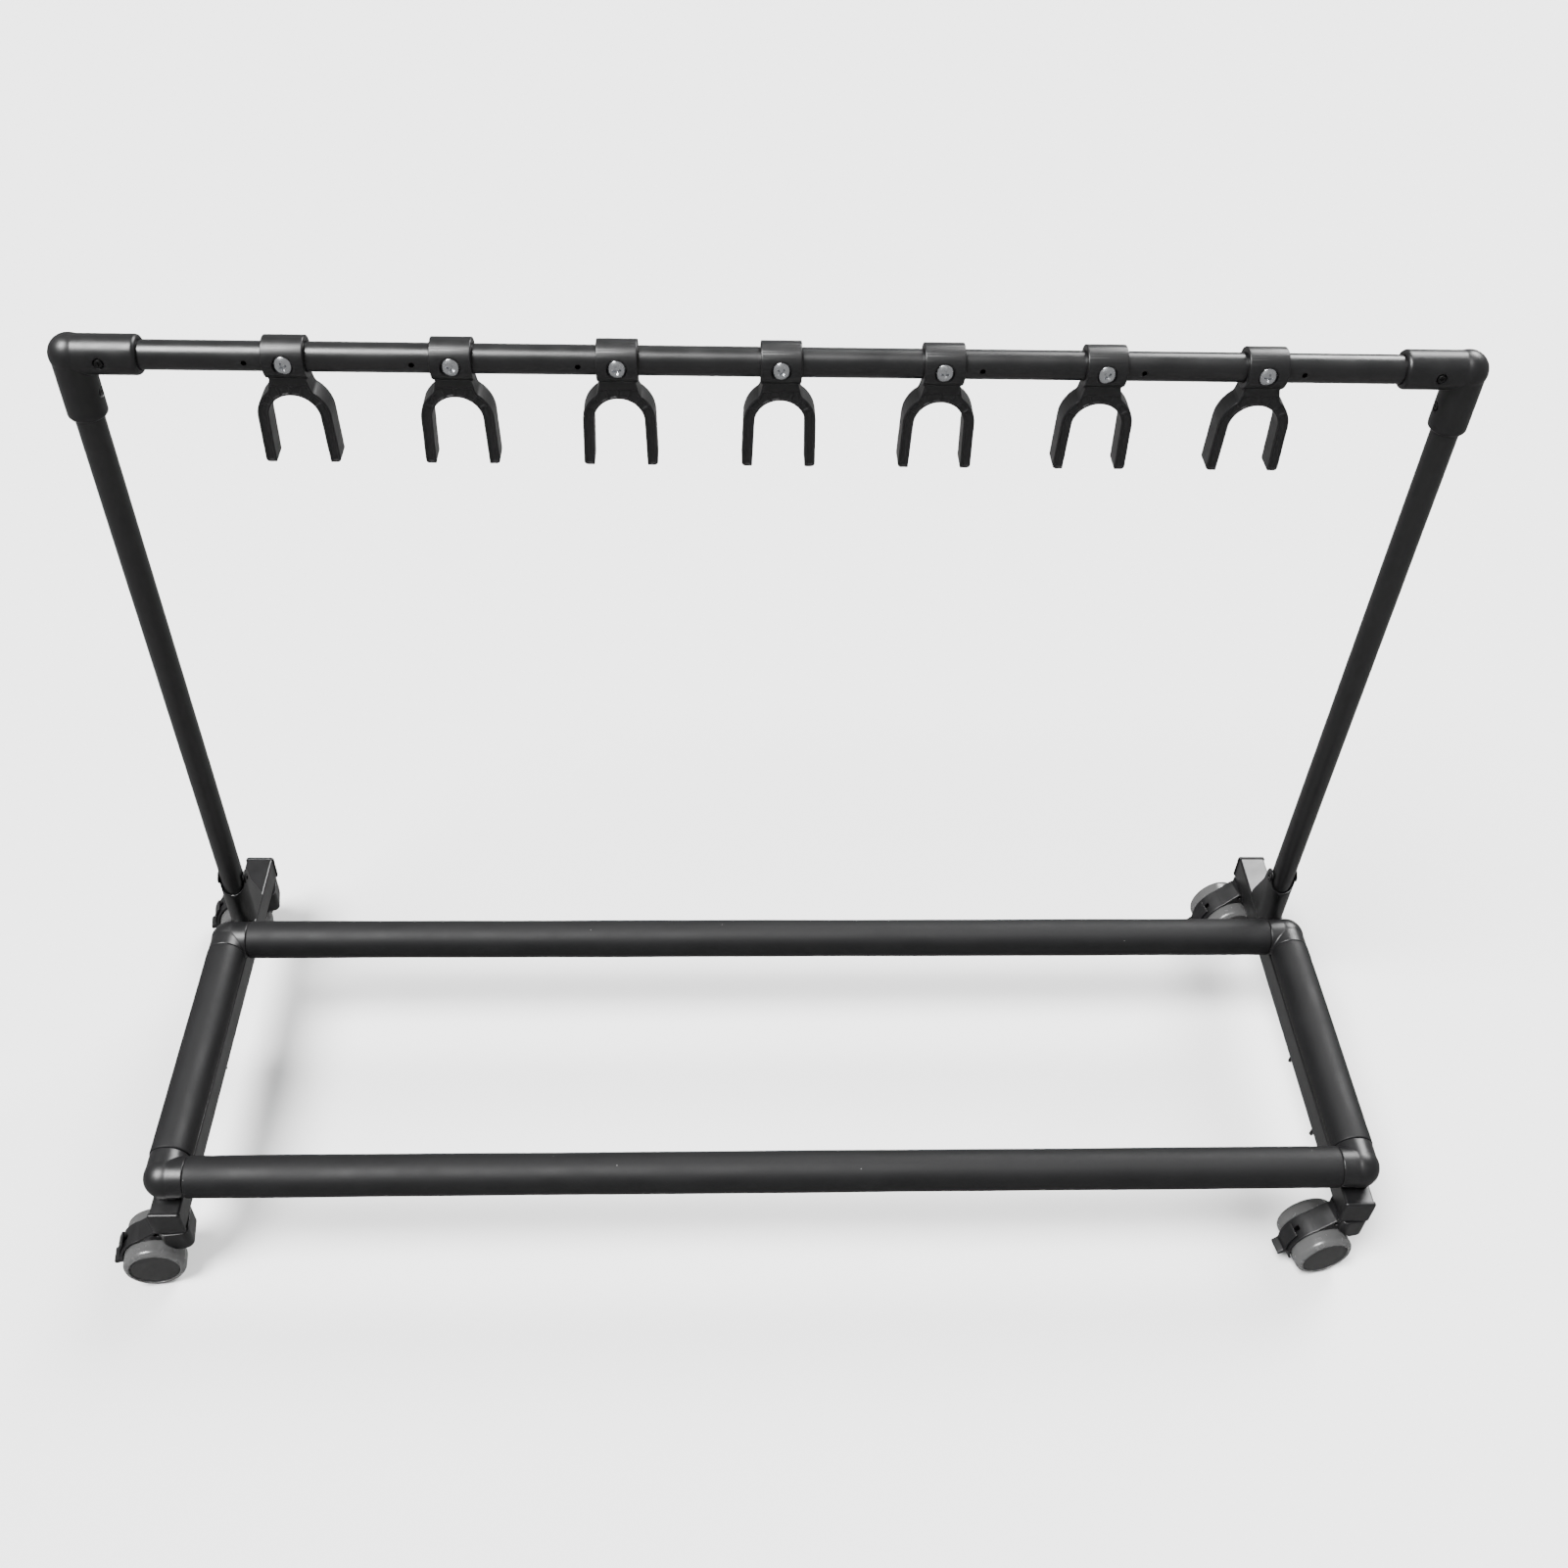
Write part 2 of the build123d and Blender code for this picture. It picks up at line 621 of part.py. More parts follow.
def make_yoke(label, yoke_x):
    """Moulded collar on the top bar with a fork hanging below it."""
    center = (yoke_x, upright_y, top_bar_z)
    front_view = Plane(origin=center, x_dir=(1, 0, 0), z_dir=(0, -1, 0))
    side_view = Plane(origin=center, z_dir=(1, 0, 0))
    rib_radius = (arch_radius + fork_outer_radius) / 2
    rib_length = fork_outer_radius - arch_radius - 2 * rib_end_gap
    first_rib = 90 - rib_step * (rib_count - 1) / 2
    rib_angles = [first_rib + rib_step * rib for rib in range(rib_count)]
    with BuildPart() as yoke:
        extrude(fork_profile(front_view), amount=fork_depth / 2, both=True)
        fork_faces = yoke.faces().filter_by(Axis.Y).sort_by(Axis.Y)
        fillet(fork_faces[0].edges() + fork_faces[-1].edges(), radius=fork_edge_rounding)
        for facing in (1, -1):
            floor_view = front_view.offset(facing * (fork_depth / 2 - fork_recess))
            with BuildSketch(floor_view):
                add(fork_profile(Plane.XY, fork_rim))
                with Locations((0, 0)):
                    Rectangle(2 * ring_width, 2 * (ring_radius + ring_clearance), mode=Mode.SUBTRACT)
            extrude(amount=facing * 2 * fork_recess, mode=Mode.SUBTRACT)
            with BuildSketch(floor_view):
                for angle in rib_angles:
                    spot = polar(rib_radius, angle, (0.0, -arch_drop))
                    with Locations(Location((*spot, 0), angle)):
                        Rectangle(rib_length, rib_thickness)
            extrude(amount=facing * (fork_recess - rib_setback))
        with BuildSketch(side_view):
            Circle(ring_radius)
        extrude(amount=ring_width / 2, both=True)
        with BuildSketch(side_view):
            Circle(ring_bore)
        extrude(amount=ring_width, both=True, mode=Mode.SUBTRACT)
        with BuildSketch(front_view.offset(yoke_recess_floor)):
            Circle(yoke_recess_radius)
        extrude(amount=ring_radius - yoke_recess_floor + cut_margin, mode=Mode.SUBTRACT)
        with BuildSketch(front_view):
            Circle(spare_hole_radius + running_gap)
        extrude(amount=yoke_recess_floor, mode=Mode.SUBTRACT)
    finish(yoke, label)


for number, yoke_x in enumerate(yoke_xs, start=1):
    make_yoke(f"yoke_{number}", yoke_x)

# Seven cross-head screws, one through the front of each yoke into the top bar
with BuildPart() as yoke_screws:
    for yoke_x in yoke_xs:
        screw_axis = Plane(
            origin=(yoke_x, upright_y, top_bar_z), x_dir=(1, 0, 0), z_dir=(0, -1, 0)
        )
        with BuildSketch(screw_axis.offset(yoke_screw_tip)):
            Circle(yoke_screw_shank_radius)
        extrude(amount=yoke_recess_floor - yoke_screw_tip)
        with BuildSketch(screw_axis.offset(yoke_recess_floor)):
            Circle(yoke_screw_head_radius)
        extrude(amount=yoke_screw_head_height, taper=yoke_screw_head_taper)
        with BuildSketch(screw_axis.offset(yoke_recess_floor + yoke_screw_cross_floor)):
            for turn in (yoke_screw_cross_turn, yoke_screw_cross_turn + 90):
                Rectangle(yoke_screw_cross_length, yoke_screw_cross_width, rotation=turn)
        extrude(amount=yoke_screw_head_height, mode=Mode.SUBTRACT)
finish(yoke_screws, "yoke_screws")

# ------------------------------------------------------------------------------ casters
axle_point = (caster_trail, wheel_radius)
caster_side = Plane(origin=(0, 0, 0), x_dir=(1, 0, 0), z_dir=(0, -1, 0))
axle_plane = Plane(origin=(caster_trail, 0, wheel_radius), x_dir=(1, 0, 0), z_dir=(0, -1, 0))

# Hood: a fender over the wheels, a spine between them and a block around the stem
with BuildPart() as hood:
    with BuildSketch(caster_side) as hood_outline:
        with BuildLine():
            fender_points = [polar(fender_radius, angle, axle_point) for angle in fender_angles]
            spine_points = [
                polar(radius, angle, axle_point)
                for radius, angle in (spine_rear, spine_low, spine_notch, spine_front)
            ]
            Polyline(*spine_points, *hood_outline_top, fender_points[0])
            ThreePointArc(*fender_points)
            Line(fender_points[2], spine_points[0])
        make_face()
    extrude(amount=fender_half_width, both=True)
    # Wider block around the stem
    with BuildSketch(Plane.XY.offset(hood_block_bottom_z)):
        with Locations((hood_block_shift, 0)):
            RectangleRounded(*hood_block_size, hood_block_corner)
    extrude(amount=hood_top_z - hood_block_bottom_z)
    # Wheel wells, both sides of the spine
    for well_side in (-1, 1):
        well_plane = axle_plane.offset(well_side * spine_half_width)
        with BuildSketch(well_plane):
            Circle(wheel_well_radius)
        extrude(amount=well_side * 2 * fender_half_width, mode=Mode.SUBTRACT)
    with BuildSketch(Plane.XY.offset(stem_bottom_z - running_gap)):
        Circle(stem_radius + running_gap)
    extrude(amount=hood_top_z - stem_bottom_z + cut_margin, mode=Mode.SUBTRACT)
    # Small window through the hump behind the stem
    with BuildSketch(caster_side):
        with Locations(hood_window_place):
            Circle(hood_window_radius)
    extrude(amount=2 * fender_half_width, both=True, mode=Mode.SUBTRACT)
    with BuildSketch(axle_plane):
        Circle(axle_radius)
    extrude(amount=2 * fender_half_width, both=True, mode=Mode.SUBTRACT)
    # Slot that the brake lever's web turns in
    with BuildSketch(axle_plane):
        Circle(lever_slot_hub)
        with BuildLine():
            slot_points = [polar(lever_slot_radius, angle) for angle in lever_slot_angles]
            Line((0, 0), slot_points[0])
            ThreePointArc(*slot_points)
            Line(slot_points[2], (0, 0))
        make_face()
    extrude(amount=lever_slot_half, both=True, mode=Mode.SUBTRACT)
hood.part.label = "hood"

# Axle: one steel pin through the hood and both wheels
with BuildPart() as axle:
    with BuildSketch(axle_plane):
        Circle(axle_radius)
    extrude(amount=axle_half_length, both=True)
    chamfer(axle.edges().filter_by(GeomType.CIRCLE), length=axle_chamfer)

# Wheel: half section turned about the axle, for the wheel on the -Y side
with BuildPart() as wheel:
    half_section = Plane(
        origin=(caster_trail, 0, wheel_radius), x_dir=(0, -1, 0), z_dir=(-1, 0, 0)
    )
    bore_radius = axle_radius + running_gap
    bore_end = axle_half_length + axle_end_gap
    with BuildSketch(half_section) as wheel_section:
        with BuildLine():
            Polyline(
                (wheel_inner, bore_radius),
                (wheel_inner, wheel_radius),
                (wheel_outer - cap_disc_step, wheel_radius),
                (wheel_outer - cap_disc_step, cap_disc_radius),
                (wheel_outer, cap_disc_radius - cap_disc_step),
                (wheel_outer - cap_disc_dish, 0),
                (bore_end, 0),
                (bore_end, bore_radius),
                (wheel_inner, bore_radius),
            )
        make_face()
        inner_corner, outer_corner = wheel_section.vertices().sort_by(Axis.Y)[-2:].sort_by(Axis.X)
        fillet(inner_corner, radius=tyre_inner_rounding)
        fillet(outer_corner, radius=tyre_shoulder)
    revolve(axis=Axis((caster_trail, 0, wheel_radius), (0, 1, 0)))

# Brake lever: a web on the axle, a curved strip behind the fender and a foot tab
with BuildPart() as brake_lever:
    with BuildSketch(axle_plane):
        Circle(lever_hub_radius)
        with BuildLine():
            web_points = [polar(lever_outer_radius, angle) for angle in lever_web_angles]
            Line((0, 0), web_points[0])
            ThreePointArc(*web_points)
            Line(web_points[2], (0, 0))
        make_face()
        Circle(axle_radius + running_gap, mode=Mode.SUBTRACT)
    extrude(amount=lever_web_half, both=True)
    with BuildSketch(axle_plane):
        with BuildLine():
            strip_top = polar(lever_inner_radius, lever_strip_top)
            strip_foot = polar(lever_inner_radius, lever_strip_foot)
            back_top = polar(lever_outer_radius, lever_web_angles[2])
            tab_root = polar(lever_outer_radius, lever_tab_root)
            middle_angle = (lever_strip_top + lever_strip_foot) / 2
            Polyline(
                strip_top,
                polar(lever_outer_radius - small_gap, lever_strip_bend),
                back_top,
            )
            ThreePointArc(back_top, polar(lever_outer_radius, middle_angle), tab_root)
            Polyline(tab_root, *[polar(*corner) for corner in lever_tab_tip], strip_foot)
            ThreePointArc(strip_foot, polar(lever_inner_radius, middle_angle), strip_top)
        make_face()
    extrude(amount=lever_half_width, both=True)

caster_places = {
    "front_left": (left_x, rail_front_y + stem_inset),
    "front_right": (right_x, rail_front_y + stem_inset),
    "rear_left": (left_x, rail_rear_y - stem_inset),
    "rear_right": (right_x, rail_rear_y - stem_inset),
}


def write_on_caster(label, piece, place):
    """Write a copy of a caster piece at its own corner, turned to its heading."""
    stem_x, stem_y = caster_places[place]
    with BuildPart() as placed:
        with Locations(Location((stem_x, stem_y, 0), (0, 0, caster_headings[place]))):
            add(piece)
    finish(placed, label)


far_wheel = mirror(wheel.part, about=Plane.XZ)
for place in caster_places:
    write_on_caster(f"hood_{place}", hood.part, place)
    write_on_caster(f"axle_{place}", axle.part, place)
    write_on_caster(f"brake_lever_{place}", brake_lever.part, place)
    write_on_caster(f"wheel_{place}_a", wheel.part, place)
    write_on_caster(f"wheel_{place}_b", far_wheel, place)

# Four stem bolts with their flanges below the rails and a nut inside each rail
with BuildPart() as caster_stems:
    for stem_x, stem_y in caster_places.values():
        with BuildSketch(Plane(origin=(stem_x, stem_y, stem_bottom_z))):
            Circle(stem_radius)
        extrude(amount=rail_bottom_z - stem_bottom_z)
        with BuildSketch(Plane(origin=(stem_x, stem_y, rail_bottom_z))):
            Circle(stem_thread_radius)
        extrude(amount=stem_thread_length)
        with BuildSketch(Plane(origin=(stem_x, stem_y, rail_bottom_z))):
            RegularPolygon(stem_flange_flats / 2, 6, major_radius=False)
        extrude(amount=-stem_flange_height)
finish(caster_stems, "caster_stems")

with BuildPart() as stem_nuts:
    for stem_x, stem_y in caster_places.values():
        with BuildSketch(Plane(origin=(stem_x, stem_y, rail_bottom_z + rail_wall))):
            RegularPolygon(stem_nut_flats / 2, 6, major_radius=False)
            Circle(stem_thread_radius + running_gap, mode=Mode.SUBTRACT)
        extrude(amount=stem_nut_height)
finish(stem_nuts, "stem_nuts")
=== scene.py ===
import json
from math import atan2, cos, exp, pi, radians, sin, sqrt

import bmesh
import bpy
from mathutils import Matrix, Vector


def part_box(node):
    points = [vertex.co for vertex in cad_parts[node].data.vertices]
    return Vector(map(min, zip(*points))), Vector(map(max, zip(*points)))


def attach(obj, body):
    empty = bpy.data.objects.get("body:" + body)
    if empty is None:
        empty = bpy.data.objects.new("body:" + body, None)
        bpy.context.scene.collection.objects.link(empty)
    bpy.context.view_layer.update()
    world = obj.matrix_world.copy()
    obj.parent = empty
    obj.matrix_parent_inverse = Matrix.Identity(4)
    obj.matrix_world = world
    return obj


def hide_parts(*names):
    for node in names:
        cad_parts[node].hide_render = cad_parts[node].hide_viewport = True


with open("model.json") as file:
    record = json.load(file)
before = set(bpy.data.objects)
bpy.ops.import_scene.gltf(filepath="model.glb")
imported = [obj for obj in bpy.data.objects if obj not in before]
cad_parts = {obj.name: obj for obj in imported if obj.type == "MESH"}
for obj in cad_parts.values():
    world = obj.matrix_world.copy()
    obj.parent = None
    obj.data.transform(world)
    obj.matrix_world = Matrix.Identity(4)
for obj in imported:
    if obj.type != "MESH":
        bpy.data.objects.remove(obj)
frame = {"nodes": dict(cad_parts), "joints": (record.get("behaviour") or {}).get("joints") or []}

bl_info = {
    "name": "Rolling guitar rack",
    "version": (1, 0, 0),
    "blender": (4, 5, 0),
    "location": "View3D > Sidebar > Guitar Rack",
    "description": "Dresses the packed guitar rack: foam, moulded parts, casters and studio",
    "category": "Object",
}

MM = 0.001
NODES = frame["nodes"]
JOINTS = {joint["name"]: joint for joint in frame["joints"]}
CASTERS = ("front_left", "front_right", "rear_left", "rear_right")
BASE_METAL = (
    "rail_left", "rail_right", "tube_front", "tube_rear", "tube_side_left", "tube_side_right",
)
UPPER_METAL = ("upright_left", "upright_right", "top_bar")
YOKES = tuple(sorted(
    name for name in NODES if name.startswith("yoke_") and name != "yoke_screws"))

MIX_COLOURS = {"data_type": "RGBA"}
SOFT_CREASE = 60         # degrees; moulded and foam edges sharper than this stay crisp
HARD_CREASE = 30         # degrees; the same for turned metal
SAME_POINT = 1e-6        # metres; points nearer than this are one point
ON_AXIS = 1e-7           # metres; a lathed radius below this is the axis itself

# How a moulding is rounded: grid step as a share of the full one, and rounds of smoothing.
FINE_GRID = 0.8
MELT = 0.5               # share of the way that a point moves in one round
KEPT_FACES = 0.22        # share of the grid's faces left after thinning
ROUNDS = {
    "hinge_bracket": 3, "corner_elbow": 4, "top_elbow": 6, "rail_end_caps": 2,
    "wing_screws": 3, "yoke": 2, "hood": 3, "brake_lever": 2,
}

FOAM_WALL = 6.7 * MM
FOAM_RING_STEP = 6 * MM

FLOOR_RADIUS = 30.0      # metres
BACKDROP_RADIUS = 29.0   # metres, just inside the floor's edge
BACKDROP_HEIGHT = 60.0   # metres, half of it below the floor
BACKDROP_GLOW = 2.8
LAMP_DISTANCE = 3        # metres; a sun lamp shines alike from any distance
KEY_DIRECTION = (-0.45, -0.25, 1.0)
RIM_DIRECTION = (0.7, 0.9, 1.0)


# ------------------------------------------------------------------------------ colours
def linear(hex_code):
    """Linear RGB from an sRGB hex colour such as '#1b1b1c'."""
    channels = [int(hex_code[place:place + 2], 16) / 255 for place in (1, 3, 5)]
    return tuple(c / 12.92 if c <= 0.04045 else ((c + 0.055) / 1.055) ** 2.4 for c in channels)


def colour_property(name, description, hex_code):
    """Colour picker whose default is an sRGB hex value."""
    return bpy.props.FloatVectorProperty(
        name=name, description=description, subtype="COLOR", size=3, min=0.0, max=1.0,
        default=linear(hex_code),
    )


def length_property(name, description, default):
    """Length in metres, shown in the scene's units."""
    return bpy.props.FloatProperty(
        name=name, description=description, default=default, precision=5,
        subtype="DISTANCE", unit="LENGTH",
    )


class RackColours(bpy.types.PropertyGroup):
    """Colours of the rack's finishes"""

    powder_coat: colour_property(
        "Powder coat", "Satin black of the steel tubes and rails", "#0b0b0c")
    nylon: colour_property("Moulded nylon", "Black of the elbows, yokes, caps and hoods", "#0c0c0d")
    foam: colour_property("Foam", "Dark grey-black of the padded sleeves", "#0d0d0e")
    tread: colour_property("Tread", "Grey of the polyurethane treads", "#454545")
    wheel_cap: colour_property("Wheel cap", "Dark grey of the discs in the wheels", "#1c1c1c")
    zinc: colour_property("Zinc plate", "Bright plating of screws, rivets and axles", "#d9dbde")
    black_oxide: colour_property("Black oxide", "Blackened screws in the top elbows", "#161616")
    floor: colour_property("Floor", "Pale studio floor", "#f4f4f4")


class RackSizes(bpy.types.PropertyGroup):
    """Sizes of details that the frame doesn't give"""

    mould_voxel: length_property("Mould step", "Grain of the rounding on moulded parts", 0.55 * MM)
    sheet_voxel: length_property(
        "Sheet step", "Grain of the rounding on the bent brackets", 0.40 * MM)
    foam_end_rounding: length_property("Foam end", "Rounding where a sleeve was cut", 1.4 * MM)
    foam_waver: length_property(
        "Foam waver", "How far a sleeve's skin strays from round", 0.22 * MM)
    tread_shoulder: length_property("Tread shoulder", "Outer rounding of a tread", 5.0 * MM)
    cap_crown: length_property("Cap crown", "How far a wheel cap bulges", 0.7 * MM)
    screw_crown: length_property("Screw crown", "Height of a yoke screw's domed head", 2.9 * MM)


class StudioSettings(bpy.types.PropertyGroup):
    """Camera and lights"""

    camera_place: bpy.props.FloatVectorProperty(
        name="Camera place", description="Where the camera stands", size=3,
        subtype="TRANSLATION", unit="LENGTH", default=(-0.0251, -0.9113, 1.2978),
    )
    camera_turn: bpy.props.FloatVectorProperty(
        name="Camera turn", description="Where the camera points", size=3, subtype="EULER",
        default=(radians(45.34), radians(-1.71), radians(-1.64)),
    )
    camera_lens: bpy.props.FloatProperty(
        name="Lens", description="Focal length on a 36 mm sensor", default=37.40, min=10.0,
        unit="CAMERA",
    )
    key_light: bpy.props.FloatProperty(
        name="Key light", description="Strength of the big light above the left front",
        default=10.0, min=0.0)
    rim_light: bpy.props.FloatProperty(
        name="Rim light", description="Strength of the light above the right rear", default=5.0,
        min=0.0)
    softness: bpy.props.FloatProperty(
        name="Softness", description="How wide each light looks from the rack", subtype="ANGLE",
        default=radians(28))
    sky: bpy.props.FloatProperty(
        name="Sky", description="Strength of the white surroundings", default=0.38, min=0.0)


# ---------------------------------------------------------------------------- materials
def add_node(tree, kind, settings=None, values=None, links=None):
    """Add one shader node, set it up and link its inputs."""
    node = tree.nodes.new(kind)
    for name, value in (settings or {}).items():
        setattr(node, name, value)
    for name, value in (values or {}).items():
        node.inputs[name].default_value = value
    for name, socket in (links or {}).items():
        tree.links.new(socket, node.inputs[name])
    return node


def start_material(name, colour, roughness, values=None):
    """Material with a plain Principled shader; returns it with its tree, shader and coordinates."""
    material = bpy.data.materials.new(name)
    material.use_nodes = True
    tree = material.node_tree
    tree.nodes.clear()
    shader = add_node(tree, "ShaderNodeBsdfPrincipled", values={
        "Base Color": (*colour, 1.0), "Roughness": roughness, **(values or {}),
    })
    add_node(tree, "ShaderNodeOutputMaterial", links={"Surface": shader.outputs["BSDF"]})
    place = add_node(tree, "ShaderNodeTexCoord").outputs["Object"]
    material.diffuse_color = (*colour, 1.0)
    return material, tree, shader, place


def tone(colour, factor):
    """The colour made darker or lighter."""
    return tuple(min(1.0, channel * factor) for channel in colour)


def grain(size_mm, detail=2.0, roughness=0.5):
    """Settings of a noise whose blotches are about size_mm across."""
    return {"Scale": 1.0 / (size_mm * MM), "Detail": detail, "Roughness": roughness}


def spread(low, high, from_low=0.3, from_high=0.7):
    """Settings that stretch the middle of a noise to a range."""
    return {"From Min": from_low, "From Max": from_high, "To Min": low, "To Max": high}


def relief(depth_mm):
    """Settings of a bump that is depth_mm deep where the height is 1."""
    return {"Distance": depth_mm * MM, "Strength": 1.0}


def shades(colour, darkest, lightest):
    """Settings of a mix between a darker and a lighter tone of a colour."""
    return {"A": (*tone(colour, darkest), 1.0), "B": (*tone(colour, lightest), 1.0)}


def vary(started, patches, gloss=None, tones=None, fine=None, depth=None):
    """Vary a started material's gloss and colour in patches, and its relief in a fine grain."""
    material, tree, shader, place = started
    patch = add_node(
        tree, "ShaderNodeTexNoise", values=patches, links={"Vector": place}).outputs["Fac"]
    if gloss:
        rough = add_node(tree, "ShaderNodeMapRange", values=gloss, links={"Value": patch})
        tree.links.new(rough.outputs["Result"], shader.inputs["Roughness"])
    if tones:
        shade = add_node(tree, "ShaderNodeMix", MIX_COLOURS, tones, {"Factor": patch})
        tree.links.new(shade.outputs["Result"], shader.inputs["Base Color"])
    if fine:
        height = add_node(
            tree, "ShaderNodeTexNoise", values=fine, links={"Vector": place}).outputs["Fac"]
        bump = add_node(tree, "ShaderNodeBump", values=depth, links={"Height": height})
        tree.links.new(bump.outputs["Normal"], shader.inputs["Normal"])
    return material


def powder_coated_steel(colours):
    """Satin black powder coat: smooth to the eye, with a faint orange peel in the gloss."""
    started = start_material(
        "powder_coated_steel_satin", colours.powder_coat, 0.36, {"Specular IOR Level": 0.6})
    # Orange peel is 1 to 2 mm across and a few hundredths of a millimetre deep.
    return vary(started, patches=grain(26.0, detail=4.0), gloss=spread(0.29, 0.38),
                tones=shades(colours.powder_coat, 0.85, 1.15),
                fine=grain(1.6), depth=relief(0.035))


def moulded_nylon(colours):
    """Black nylon from a spark-eroded mould: a soft broad sheen over a fine even grain."""
    started = start_material(
        "nylon_moulded_black", colours.nylon, 0.38, {"IOR": 1.53, "Specular IOR Level": 0.42})
    # Spark-eroded grain is about 0.1 mm; it is drawn at 0.5 mm so that it shows.
    return vary(started, patches=grain(14.0, detail=5.0, roughness=0.6),
                gloss=spread(0.33, 0.43), tones=shades(colours.nylon, 0.85, 1.2),
                fine=grain(0.5, detail=3.0), depth=relief(0.03))


def closed_cell_foam(colours):
    """Nitrile foam sleeve with a skinned surface: matt, with fine cells and a few pale specks."""
    material, tree, shader, place = start_material(
        "nitrile_foam_skinned", colours.foam, 0.62, {"IOR": 1.45, "Specular IOR Level": 0.3})
    # Cells are about 0.3 mm; they are drawn at 0.9 mm so that they show.
    cells = add_node(tree, "ShaderNodeTexVoronoi", {"feature": "SMOOTH_F1"},
                     {"Scale": 1.0 / (0.9 * MM), "Smoothness": 0.6}, {"Vector": place})
    drawn = add_node(tree, "ShaderNodeTexNoise", values=grain(2.2, detail=3.0),
                     links={"Vector": place})
    height = add_node(tree, "ShaderNodeMath", {"operation": "ADD"},
                      links={0: cells.outputs["Distance"], 1: drawn.outputs["Fac"]})
    bump = add_node(tree, "ShaderNodeBump", values=relief(0.05),
                    links={"Height": height.outputs["Value"]})
    patches = add_node(tree, "ShaderNodeTexNoise", values=grain(38.0, detail=5.0, roughness=0.6),
                       links={"Vector": place}).outputs["Fac"]
    rough = add_node(tree, "ShaderNodeMapRange", values=spread(0.52, 0.64),
                     links={"Value": patches})
    base = add_node(tree, "ShaderNodeMix", MIX_COLOURS, shades(colours.foam, 0.8, 1.25),
                    {"Factor": patches})
    # Dust specks, under half a millimetre across and 10 to 20 mm apart.
    specks = add_node(tree, "ShaderNodeTexVoronoi", {"feature": "F1"},
                      {"Scale": 1.0 / (17.0 * MM)}, {"Vector": place})
    dust = add_node(tree, "ShaderNodeMapRange", values=spread(1.0, 0.0, 0.012, 0.022),
                    links={"Value": specks.outputs["Distance"]})
    dusty = add_node(tree, "ShaderNodeMix", MIX_COLOURS, {"B": (*tone(colours.tread, 4.0), 1.0)},
                     {"Factor": dust.outputs["Result"], "A": base.outputs["Result"]})
    tree.links.new(dusty.outputs["Result"], shader.inputs["Base Color"])
    tree.links.new(rough.outputs["Result"], shader.inputs["Roughness"])
    tree.links.new(bump.outputs["Normal"], shader.inputs["Normal"])
    return material


def polyurethane_tread(colours):
    """Grey cast polyurethane: slightly glossy, with faint uneven marks from rolling."""
    started = start_material("polyurethane_tread_grey", colours.tread, 0.27, {"IOR": 1.5})
    return vary(started, patches=grain(9.0, detail=3.0), gloss=spread(0.2, 0.3),
                tones=shades(colours.tread, 0.93, 1.05),
                fine=grain(0.8, detail=3.0), depth=relief(0.02))


def wheel_cap_nylon(colours):
    """Dark grey nylon disc with a matt moulded face."""
    started = start_material("nylon_moulded_cap", colours.wheel_cap, 0.5, {"IOR": 1.53})
    return vary(started, patches=grain(9.0, detail=4.0),
                tones=shades(colours.wheel_cap, 0.88, 1.12),
                fine=grain(0.5, detail=3.0), depth=relief(0.03))


def zinc_plate(colours):
    """Bright zinc on steel: mirror-like where it is new, slightly cloudy elsewhere."""
    started = start_material("steel_zinc_plated", colours.zinc, 0.2, {"Metallic": 1.0})
    return vary(started, patches=grain(2.0, detail=5.0), gloss=spread(0.14, 0.30),
                tones=shades(colours.zinc, 0.8, 1.0), fine=grain(0.6), depth=relief(0.01))


def black_oxide_steel(colours):
    """Blackened steel screw, oiled: a dull metal gloss."""
    started = start_material("steel_black_oxide", colours.black_oxide, 0.4, {"Metallic": 0.6})
    return vary(started, patches=grain(1.0, detail=4.0), gloss=spread(0.32, 0.5))


def studio_paper(colours):
    """Pale paper floor, even and matt."""
    started = start_material(
        "paper_seamless_pale", colours.floor, 0.85, {"Specular IOR Level": 0.1})
    return vary(started, patches=grain(400.0), tones=shades(colours.floor, 0.985, 1.0))


def lit_backdrop(colours):
    """Backdrop paper, lit evenly from behind."""
    return start_material("paper_backdrop_lit", colours.floor, 0.85, {
        "Emission Color": (*colours.floor, 1.0), "Emission Strength": BACKDROP_GLOW})[0]


MATERIAL_MAKERS = {
    "powder_coated_steel_satin": powder_coated_steel,
    "nylon_moulded_black": moulded_nylon,
    "nitrile_foam_skinned": closed_cell_foam,
    "polyurethane_tread_grey": polyurethane_tread,
    "nylon_moulded_cap": wheel_cap_nylon,
    "steel_zinc_plated": zinc_plate,
    "steel_black_oxide": black_oxide_steel,
    "paper_seamless_pale": studio_paper,
    "paper_backdrop_lit": lit_backdrop,
}


def material_named(name):
    """The material of that name, made the first time it is asked for."""
    found = bpy.data.materials.get(name)
    return found or MATERIAL_MAKERS[name](bpy.context.scene.rack_colours)


